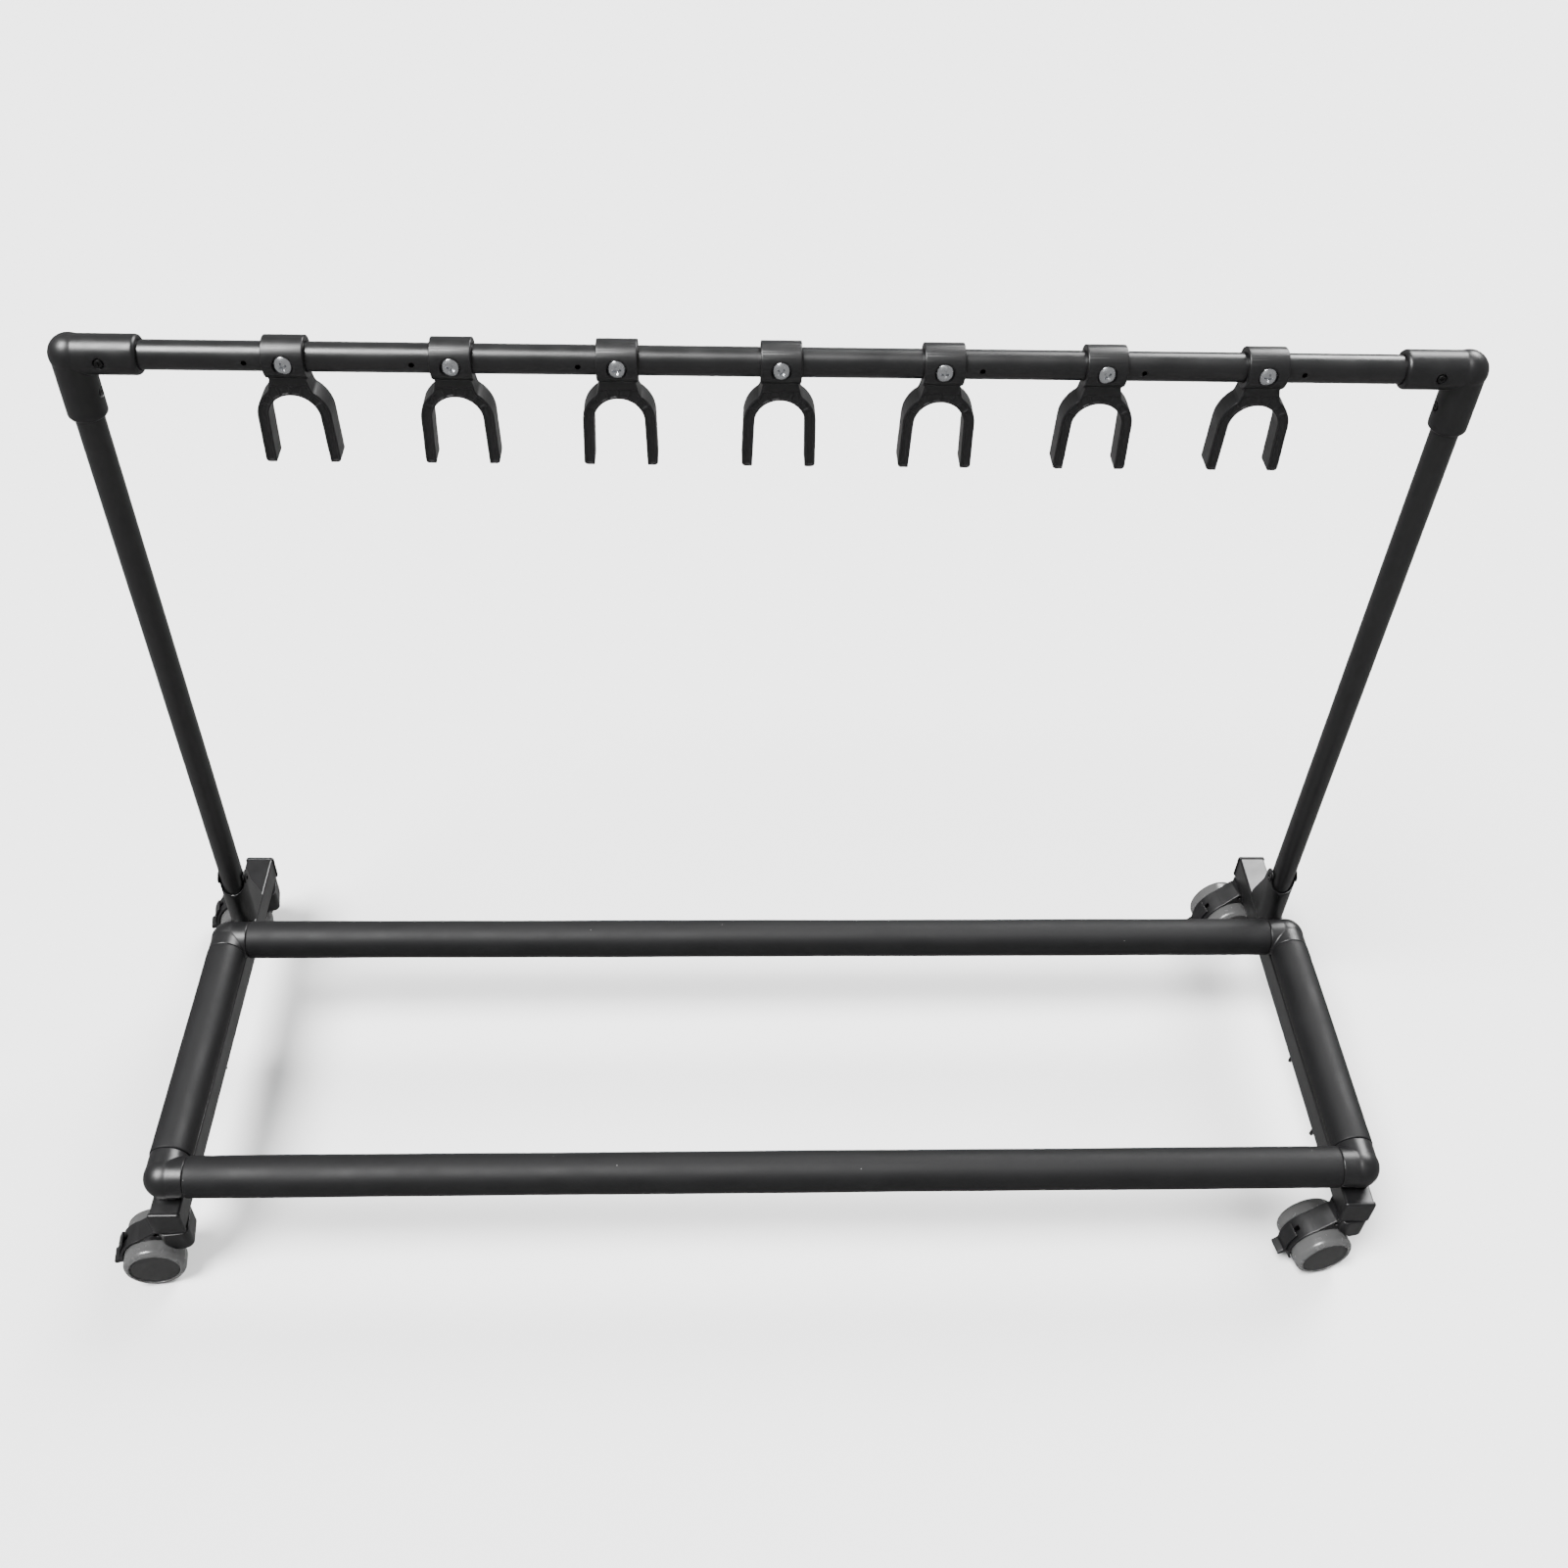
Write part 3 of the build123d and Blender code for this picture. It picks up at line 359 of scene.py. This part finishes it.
# ------------------------------------------------------------------------- mesh building
def rounded(corners, steps=6):
    """Outline points from (x, y, radius) corners, each round one drawn as an arc."""
    points = []
    for index, (x, y, radius) in enumerate(corners):
        corner = Vector((x, y))
        if radius == 0:
            points.append((x, y))
            continue
        before = (Vector(corners[index - 1][:2]) - corner).normalized()
        after = (Vector(corners[(index + 1) % len(corners)][:2]) - corner).normalized()
        half_angle = before.angle(after) / 2
        reach = radius / abs(sin(half_angle) / cos(half_angle))
        middle = corner + (before + after).normalized() * (radius / sin(half_angle))
        start = corner + before * reach - middle
        finish = corner + after * reach - middle
        turn = atan2(start.x * finish.y - start.y * finish.x, start.dot(finish))
        for step in range(steps + 1):
            angle = turn * step / steps
            points.append((
                middle.x + start.x * cos(angle) - start.y * sin(angle),
                middle.y + start.x * sin(angle) + start.y * cos(angle),
            ))
    return points


def lathe(outline, turns=72, place=Matrix()):
    """Solid turned about local Z from a closed outline of (distance along Z, radius)."""
    shape = bmesh.new()
    rings = []
    for turn in range(turns):
        angle = 2 * pi * turn / turns
        rings.append([
            shape.verts.new(place @ Vector((radius * cos(angle), radius * sin(angle), along)))
            for along, radius in outline
        ])
    count = len(outline)
    for turn in range(turns):
        ring, following = rings[turn], rings[(turn + 1) % turns]
        for index in range(count):
            after = (index + 1) % count
            if outline[index][1] < ON_AXIS and outline[after][1] < ON_AXIS:
                continue
            shape.faces.new((ring[index], following[index], following[after], ring[after]))
    bmesh.ops.remove_doubles(shape, verts=shape.verts, dist=ON_AXIS)
    bmesh.ops.recalc_face_normals(shape, faces=shape.faces)
    return shape


def mesh_from(name, shape):
    """Mesh made from a bmesh, which is freed."""
    mesh = bpy.data.meshes.new(name)
    shape.to_mesh(mesh)
    shape.free()
    return mesh


def smooth_shading(mesh, sharp_degrees):
    """Smooth faces, with edges sharper than the angle kept crisp."""
    mesh.polygons.foreach_set("use_smooth", [True] * len(mesh.polygons))
    mesh.set_sharp_from_angle(angle=radians(sharp_degrees))


def make_piece(name, shape, material, body, replaced=(), sharp_degrees=38):
    """Object from a bmesh or mesh, with its material and body; the CAD nodes it stands for are
    hidden.
    """
    if isinstance(shape, bmesh.types.BMesh):
        mesh = mesh_from(name, shape)
    else:
        mesh = shape
    if not mesh.materials:
        mesh.materials.append(material_named(material))
        smooth_shading(mesh, sharp_degrees)
    piece = bpy.data.objects.new(name, mesh)
    bpy.context.scene.collection.objects.link(piece)
    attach(piece, body)
    if replaced:
        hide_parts(*replaced)
    return piece


def restyle(names, material):
    """Give CAD nodes their finish, and leave their shape alone."""
    for name in names:
        slots = NODES[name].material_slots
        if not slots:
            raise RuntimeError(f"{name} has no material slot")
        for slot in slots:
            slot.link = "OBJECT"
            slot.material = material_named(material)


def softened(name, node, voxel, rounds, place=Matrix()):
    """Mesh of a CAD node, moved by a matrix, with its edges rounded as a mould rounds them."""
    shape = bmesh.new()
    shape.from_mesh(NODES[node].data)
    shape.transform(place)
    bmesh.ops.remove_doubles(shape, verts=shape.verts, dist=SAME_POINT)
    mesh = mesh_from(name, shape)
    carrier = bpy.data.objects.new(name, mesh)
    bpy.context.scene.collection.objects.link(carrier)
    remesh = carrier.modifiers.new("rounding_grid", "REMESH")
    remesh.mode = "VOXEL"
    remesh.voxel_size = voxel
    melt = carrier.modifiers.new("rounding", "SMOOTH")
    melt.factor = MELT
    melt.iterations = rounds
    thin = carrier.modifiers.new("thinning", "DECIMATE")
    thin.ratio = KEPT_FACES
    evaluated = carrier.evaluated_get(bpy.context.evaluated_depsgraph_get())
    result = bpy.data.meshes.new_from_object(evaluated)
    bpy.data.objects.remove(carrier)
    bpy.data.meshes.remove(mesh)
    if not result.polygons:
        raise RuntimeError(f"{node}: rounding left nothing")
    result.name = name
    result.materials.clear()
    return result


def middle_of(node):
    """Middle of a CAD node's box."""
    low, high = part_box(node)
    return (low + high) / 2


def caster_matrix(corner):
    """Place of a caster: origin on the floor below its stem, X towards its axle."""
    stem = Vector(JOINTS[f"caster_swivel_{corner}"]["pos_m"])
    axle = Vector(JOINTS[f"wheel_spin_{corner}_a"]["pos_m"])
    heading = atan2(axle.y - stem.y, axle.x - stem.x)
    return Matrix.Translation((stem.x, stem.y, 0)) @ Matrix.Rotation(heading, 4, "Z")


# --------------------------------------------------------------------------- operators
class MakeMetalwork(bpy.types.Operator):
    """Finish the rails, tubes, uprights and top bar, and round the bent brackets"""

    bl_idname = "rack.make_metalwork"
    bl_label = "Metalwork"

    def execute(self, context):
        sizes = context.scene.rack_sizes
        restyle(BASE_METAL + UPPER_METAL, "powder_coated_steel_satin")
        for side in ("left", "right"):
            node = f"hinge_bracket_{side}"
            mesh = softened(node, node, sizes.sheet_voxel, ROUNDS["hinge_bracket"])
            make_piece(f"bent_{node}", mesh, "powder_coated_steel_satin", "base",
                       [node])
        return {"FINISHED"}


class MakeFoamSleeves(bpy.types.Operator):
    """Foam sleeves with cut ends, a slightly uneven skin and pinched folds near the elbows"""

    bl_idname = "rack.make_foam_sleeves"
    bl_label = "Foam sleeves"

    def execute(self, context):
        sizes = context.scene.rack_sizes
        for seed, place in enumerate(("front", "rear", "side_left", "side_right")):
            self.make_sleeve(place, seed, sizes)
        return {"FINISHED"}

    def make_sleeve(self, place, seed, sizes):
        node = f"foam_{place}"
        low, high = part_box(node)
        along_y = place.startswith("side")
        length = (high.y - low.y) if along_y else (high.x - low.x)
        radius = (high.z - low.z) / 2
        bore = radius - FOAM_WALL
        tilt = Matrix.Rotation(-pi / 2, 4, "X") if along_y else Matrix.Rotation(pi / 2, 4, "Y")
        start = middle_of(node)
        start[1 if along_y else 0] = low.y if along_y else low.x
        end = sizes.foam_end_rounding
        rings = int(length / FOAM_RING_STEP)
        skin = [(end + (length - 2 * end) * step / rings, radius, 0) for step in range(1, rings)]
        outline = rounded(
            [(0, bore, 0), (0, radius, end)] + skin + [(length, radius, end), (length, bore, 0)])
        shape = lathe(outline, turns=80)
        for vert in shape.verts:
            self.wave_skin(vert, length, radius, seed, sizes.foam_waver)
        shape.transform(Matrix.Translation(start) @ tilt)
        piece = make_piece(f"sleeve_{place}", shape, "nitrile_foam_skinned", "base",
                           [node], SOFT_CREASE)

    def wave_skin(self, vert, length, radius, seed, waver):
        """Long shallow swells, and a few short folds near each end."""
        reach = sqrt(vert.co.x ** 2 + vert.co.y ** 2)
        outer_skin = 0.8 * radius
        if reach < outer_skin:
            return
        angle = atan2(vert.co.y, vert.co.x)
        along = vert.co.z
        # Metres of sleeve for each radian of the long and the short wave.
        long_wave, short_wave = 0.061, 0.023
        swell = waver * (
            sin(along / long_wave + 1.7 * seed + cos(angle))
            + 0.6 * sin(along / short_wave + 2 * angle + seed))
        first_fold, fold_spacing, fold_depth, fold_width = 11, 9, 0.35 * MM, 2.2 * MM
        folds = 0.0
        for number in range(3):
            spot = (first_fold + fold_spacing * number) * MM
            # Each fold goes part of the way round, and faces its own way.
            lobe = max(0.0, cos(angle - 2.4 * number - 1.3 * seed)) ** 2
            for distance in (along - spot, length - along - spot):
                folds -= fold_depth * lobe * exp(-(distance / fold_width) ** 2)
        scale = (reach + swell * 0.5 + folds) / reach
        vert.co.x *= scale
        vert.co.y *= scale


class MakeMouldings(bpy.types.Operator):
    """Elbows, rail caps, wing screws and yokes, rounded as moulded nylon"""

    bl_idname = "rack.make_mouldings"
    bl_label = "Moulded parts"

    def execute(self, context):
        voxel = context.scene.rack_sizes.mould_voxel
        for node in sorted(NODES):
            if node.startswith("corner_elbow_"):
                self.mould(node, voxel, ROUNDS["corner_elbow"], "base")
            elif node.startswith("top_elbow_"):
                self.mould(node, voxel, ROUNDS["top_elbow"], "upper_frame")
        for node in ("rail_end_caps", "wing_screws"):
            self.mould(node, voxel * FINE_GRID, ROUNDS[node], "base")
        first = middle_of(YOKES[0])
        shared = softened("yoke_moulding", YOKES[0], voxel, ROUNDS["yoke"],
                          place=Matrix.Translation(-first))
        for node in YOKES:
            piece = make_piece(f"moulded_{node}", shared, "nylon_moulded_black", "upper_frame",
                               [node], SOFT_CREASE)
            piece.location = middle_of(node)
        return {"FINISHED"}

    def mould(self, node, voxel, rounds, body):
        """Replace a CAD node by its rounded shape."""
        mesh = softened(node, node, voxel, rounds)
        make_piece(f"moulded_{node}", mesh, "nylon_moulded_black", body, [node],
                   SOFT_CREASE)


class MakeFasteners(bpy.types.Operator):
    """Domed cross-head screws in the yokes, rolled rivets in the hinges, and the plain hardware"""

    bl_idname = "rack.make_fasteners"
    bl_label = "Fasteners"

    def execute(self, context):
        restyle(["elbow_screws"], "steel_black_oxide")
        restyle(["caster_stems", "stem_nuts"], "steel_zinc_plated")
        restyle([f"axle_{corner}" for corner in CASTERS], "steel_zinc_plated")
        self.make_yoke_screws(context.scene.rack_sizes.screw_crown)
        self.make_rivets()
        return {"FINISHED"}

    def make_yoke_screws(self, crown):
        """Seven pan heads with a cross recess, each turned its own way."""
        low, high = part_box("yoke_screws")
        radius = (high.z - low.z) / 2
        shank_length, shank = 7.4 * MM, 1.95 * MM
        under_edge, rim_height, rim_edge, dome = 0.3 * MM, 0.9 * MM, 0.5 * MM, 2.2 * MM
        outline = rounded([
            (0, 0, 0), (0, shank, 0), (shank_length, shank, 0),
            (shank_length, radius, under_edge), (shank_length + rim_height, radius, rim_edge),
            (shank_length + crown * 0.8, radius * 0.72, dome), (shank_length + crown, 0, 0),
        ])
        mesh = mesh_from("yoke_screw_turned", lathe(outline, turns=64))
        cutter = bmesh.new()
        arm_length, arm_width, recess, clearance = 3.9 * MM, 0.8 * MM, 2.1 * MM, 0.2 * MM
        top = shank_length + crown + clearance
        for arm in (0, pi / 2):
            self.add_cross_arm(cutter, arm, arm_length, arm_width, top, recess)
        mesh = self.cut(mesh, cutter)
        screws = bmesh.new()
        facing = Matrix.Rotation(pi / 2, 4, "X")
        for number, yoke in enumerate(YOKES):
            center = middle_of(yoke)
            # Driven by hand, so no two crosses point the same way.
            turned = Matrix.Rotation(radians(18 + 41 * number), 4, "Z")
            spot = Matrix.Translation((center.x, high.y, (low.z + high.z) / 2))
            before = set(screws.verts)
            screws.from_mesh(mesh)
            added = [vert for vert in screws.verts if vert not in before]
            bmesh.ops.transform(screws, matrix=spot @ facing @ turned, verts=added)
        make_piece("screws_in_yokes", screws, "steel_zinc_plated", "upper_frame",
                   ["yoke_screws"], HARD_CREASE)

    def add_cross_arm(self, shape, angle, half_length, half_width, top, depth):
        """Tapered bar of the cross recess."""
        tip = 0.45
        turn = Matrix.Rotation(angle, 4, "Z")
        corners = []
        for height, scale in ((top, 1.0), (top - depth, tip)):
            for x, y in ((-1, -1), (1, -1), (1, 1), (-1, 1)):
                point = Vector((x * half_length * scale, y * half_width * (scale + 1) / 2, height))
                corners.append(shape.verts.new(turn @ point))
        for ring in ((3, 2, 1, 0), (4, 5, 6, 7)):
            shape.faces.new([corners[index] for index in ring])
        for index in range(4):
            after = (index + 1) % 4
            shape.faces.new([corners[i] for i in (index, after, after + 4, index + 4)])

    def cut(self, mesh, cutter):
        """Subtract a bmesh from a mesh; returns the new mesh."""
        body = bpy.data.objects.new("turned_blank", mesh)
        bmesh.ops.recalc_face_normals(cutter, faces=cutter.faces)
        tool = bpy.data.objects.new("cross_tool", mesh_from("cross_tool", cutter))
        for item in (body, tool):
            bpy.context.scene.collection.objects.link(item)
        boolean = body.modifiers.new("recess", "BOOLEAN")
        boolean.object = tool
        boolean.operation = "DIFFERENCE"
        boolean.solver = "EXACT"
        boolean.use_self = True
        evaluated = body.evaluated_get(bpy.context.evaluated_depsgraph_get())
        result = bpy.data.meshes.new_from_object(evaluated)
        for item in (body, tool):
            data = item.data
            bpy.data.objects.remove(item)
            bpy.data.meshes.remove(data)
        result.materials.clear()
        return result

    def make_rivets(self):
        """Tubular rivets with rolled rims."""
        low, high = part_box("pivot_rivets")
        rivets = bmesh.new()
        radius, bore = 3.0 * MM, 2.25 * MM
        flare, rim_depth, mouth_depth = 0.3 * MM, 0.75 * MM, 1.0 * MM
        mouth_edge, outer_edge, inner_edge = 0.25 * MM, 0.3 * MM, 0.2 * MM
        rim = (high.z - low.z) / 2
        half = middle_of("hinge_bracket_left").x - low.x
        outline = rounded([
            (-half, bore + flare, mouth_edge), (-half, rim, outer_edge),
            (-half + rim_depth, rim, inner_edge), (-half + rim_depth, radius, 0),
            (half - rim_depth, radius, 0), (half - rim_depth, rim, inner_edge),
            (half, rim, outer_edge), (half, bore + flare, mouth_edge),
            (half - mouth_depth, bore, 0), (-half + mouth_depth, bore, 0),
        ], steps=4)
        tilt = Matrix.Rotation(pi / 2, 4, "Y")
        center = middle_of("pivot_rivets")
        for side in ("left", "right"):
            spot = Matrix.Translation((middle_of(f"hinge_bracket_{side}").x, center.y, center.z))
            mesh = mesh_from("rivet", lathe(outline, turns=40, place=spot @ tilt))
            rivets.from_mesh(mesh)
            bpy.data.meshes.remove(mesh)
        make_piece("rolled_rivets", rivets, "steel_black_oxide", "base",
                   ["pivot_rivets"], HARD_CREASE)


class MakeCasters(bpy.types.Operator):
    """Hoods, brake levers, treads and wheel caps of the four casters"""

    bl_idname = "rack.make_casters"
    bl_label = "Casters"

    def execute(self, context):
        sizes = context.scene.rack_sizes
        home = caster_matrix(CASTERS[0]).inverted()
        fine_grid = sizes.mould_voxel * FINE_GRID
        hood = softened(
            "hood_moulding", f"hood_{CASTERS[0]}", fine_grid, ROUNDS["hood"], place=home)
        lever = softened("lever_moulding", f"brake_lever_{CASTERS[0]}", fine_grid,
                         ROUNDS["brake_lever"], place=home)
        tread = self.tread_mesh(sizes)
        core = self.core_mesh(sizes)
        for corner in CASTERS:
            place = caster_matrix(corner)
            moulded = make_piece(f"moulded_hood_{corner}", hood, "nylon_moulded_black",
                                 f"caster_{corner}", [f"hood_{corner}"],
                                 SOFT_CREASE)
            moulded.matrix_world = place
            pedal = make_piece(f"pedal_{corner}", lever, "nylon_moulded_black",
                               f"brake_{corner}", [f"brake_lever_{corner}"],
                               SOFT_CREASE)
            pedal.matrix_world = place
            axle = Vector(JOINTS[f"wheel_spin_{corner}_a"]["pos_m"])
            heading = place.to_euler().z
            for wheel, side in (("a", 1), ("b", -1)):
                # Local Z of a wheel runs outwards along the axle.
                spot = (Matrix.Translation(axle) @ Matrix.Rotation(heading, 4, "Z")
                        @ Matrix.Rotation(side * pi / 2, 4, "X"))
                node = f"wheel_{corner}_{wheel}"
                tyre = make_piece(f"tread_{corner}_{wheel}", tread, "polyurethane_tread_grey",
                                  node, [node])
                tyre.matrix_world = spot
                disc = make_piece(f"cap_{corner}_{wheel}", core, "nylon_moulded_cap",
                                  node)
                disc.matrix_world = spot
        return {"FINISHED"}

    def wheel_sizes(self):
        """Radius, and the distances of a wheel's two faces from the caster's middle."""
        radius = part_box("wheel_front_left_a")[1].z / 2
        inner_face, outer_face = 6.5 * MM, 23.5 * MM
        return radius, inner_face, outer_face

    def tread_mesh(self, sizes):
        """Tread ring with a broad outer shoulder and a lip round the cap."""
        radius, inner, outer = self.wheel_sizes()
        lip = 20.4 * MM
        inner_edge, lip_edge = 1.4 * MM, 0.5 * MM
        shoulder_inset, lip_inset, lip_floor = 0.9 * MM, 0.2 * MM, 1.4 * MM
        outline = rounded([
            (inner, lip, 0), (inner, radius, inner_edge),
            (outer - shoulder_inset, radius, sizes.tread_shoulder),
            (outer - lip_inset, lip, lip_edge), (outer - lip_floor, lip, 0),
        ], steps=10)
        return mesh_from("tread_ring", lathe(outline, turns=96))

    def core_mesh(self, sizes):
        """Hub and web behind the tread, closed by a crowned disc with a fine rim groove."""
        _, inner, outer = self.wheel_sizes()
        edge, bore, hub = 20.1 * MM, 3.05 * MM, 7 * MM
        web_edge, rim = 18.2 * MM, 18.6 * MM
        hub_inset, rim_inset, web_inset = 0.3 * MM, 0.6 * MM, 3.0 * MM
        hub_edge, rim_edge, disc_edge = 0.4 * MM, 0.3 * MM, 0.4 * MM
        groove, hollow = 0.2 * MM, 4.2 * MM
        face = outer - 0.9 * MM
        crown = [
            (face + sizes.cap_crown * (1 - share ** 2), edge * share * 0.94, 0)
            for share in (0.95, 0.85, 0.7, 0.5, 0.3, 0.15)
        ]
        outline = rounded([
            (inner + hub_inset, bore, 0), (inner + hub_inset, hub, hub_edge),
            (inner + web_inset, hub, 0), (inner + web_inset, web_edge, 0),
            (inner + rim_inset, rim, rim_edge), (inner + rim_inset, edge, 0),
            (face - groove, edge, disc_edge), *crown, (face + sizes.cap_crown, 0, 0),
            (outer - hollow, 0, 0), (outer - hollow, bore, 0),
        ], steps=4)
        return mesh_from("hub_and_cap", lathe(outline, turns=72))


class MakeStudio(bpy.types.Operator):
    """Pale floor, soft lights and the camera"""

    bl_idname = "rack.make_studio"
    bl_label = "Studio"

    def execute(self, context):
        settings = context.scene.rack_studio
        self.lay_floor()
        self.hang_backdrop()
        self.light_sky(settings.sky)
        self.hang_light("key_light", KEY_DIRECTION, settings.key_light, settings.softness)
        self.hang_light("rim_light", RIM_DIRECTION, settings.rim_light, settings.softness)
        self.place_camera(settings)
        return {"FINISHED"}

    def lay_floor(self):
        """Round floor, far wider than the rack; it lights the rack but isn't mirrored in it."""
        shape = bmesh.new()
        bmesh.ops.create_circle(shape, cap_ends=True, segments=96, radius=FLOOR_RADIUS)
        floor = self.set_up("studio_floor", shape, "paper_seamless_pale")
        floor.visible_glossy = False

    def hang_backdrop(self):
        """Glowing paper all round, seen by the camera only; it neither lights nor shades."""
        shape = bmesh.new()
        bmesh.ops.create_cone(shape, segments=96, radius1=BACKDROP_RADIUS,
                              radius2=BACKDROP_RADIUS, depth=BACKDROP_HEIGHT)
        backdrop = self.set_up("studio_backdrop", shape, "paper_backdrop_lit")
        for kind in ("glossy", "diffuse", "transmission", "shadow"):
            setattr(backdrop, f"visible_{kind}", False)

    def set_up(self, name, shape, material):
        """Stage object from a bmesh."""
        mesh = mesh_from(name, shape)
        mesh.materials.append(material_named(material))
        stage = bpy.data.objects.new(name, mesh)
        bpy.context.scene.collection.objects.link(stage)
        return stage

    def light_sky(self, strength):
        """Even white surroundings."""
        world = bpy.data.worlds.new("white_studio")
        world.use_nodes = True
        world.node_tree.nodes["Background"].inputs["Color"].default_value = (1.0, 1.0, 1.0, 1.0)
        world.node_tree.nodes["Background"].inputs["Strength"].default_value = strength
        bpy.context.scene.world = world

    def hang_light(self, name, direction, strength, softness):
        """Distant softbox in a direction from the rack."""
        data = bpy.data.lights.new(name, "SUN")
        data.energy = strength
        data.angle = softness
        lamp = bpy.data.objects.new(name, data)
        bpy.context.scene.collection.objects.link(lamp)
        lamp.location = Vector(direction) * LAMP_DISTANCE
        lamp.rotation_euler = Vector(direction).to_track_quat("Z", "Y").to_euler()

    def place_camera(self, settings):
        """Camera above and in front of the rack, looking down at it."""
        data = bpy.data.cameras.new("camera")
        data.type = "PERSP"
        data.sensor_width = 36.0
        data.lens = settings.camera_lens
        camera = bpy.data.objects.new("camera", data)
        bpy.context.scene.collection.objects.link(camera)
        camera.location = settings.camera_place
        camera.rotation_euler = settings.camera_turn
        bpy.context.scene.camera = camera


OPERATORS = (MakeMetalwork, MakeFoamSleeves, MakeMouldings, MakeFasteners, MakeCasters, MakeStudio)


class RackPanel(bpy.types.Panel):
    """Sizes, colours and build steps of the rack"""

    bl_idname = "VIEW3D_PT_guitar_rack"
    bl_label = "Guitar Rack"
    bl_space_type = "VIEW_3D"
    bl_region_type = "UI"
    bl_category = "Guitar Rack"

    def draw(self, context):
        layout = self.layout
        for group_name in GROUPS:
            group = getattr(context.scene, group_name)
            box = layout.box()
            for name in group.bl_rna.properties.keys():
                if name not in ("rna_type", "name"):
                    box.prop(group, name)
        for operator in OPERATORS:
            layout.operator(operator.bl_idname)


CLASSES = (RackColours, RackSizes, StudioSettings, *OPERATORS, RackPanel)
GROUPS = {"rack_colours": RackColours, "rack_sizes": RackSizes, "rack_studio": StudioSettings}


def register():
    for each in CLASSES:
        bpy.utils.register_class(each)
    for name, group in GROUPS.items():
        setattr(bpy.types.Scene, name, bpy.props.PointerProperty(type=group))


def unregister():
    for name in GROUPS:
        delattr(bpy.types.Scene, name)
    for each in reversed(CLASSES):
        bpy.utils.unregister_class(each)


def main():
    register()
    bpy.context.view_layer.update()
    bpy.ops.rack.make_metalwork()
    bpy.ops.rack.make_foam_sleeves()
    bpy.ops.rack.make_mouldings()
    bpy.ops.rack.make_fasteners()
    bpy.ops.rack.make_casters()
    bpy.ops.rack.make_studio()


if __name__ == "__main__":
    main()
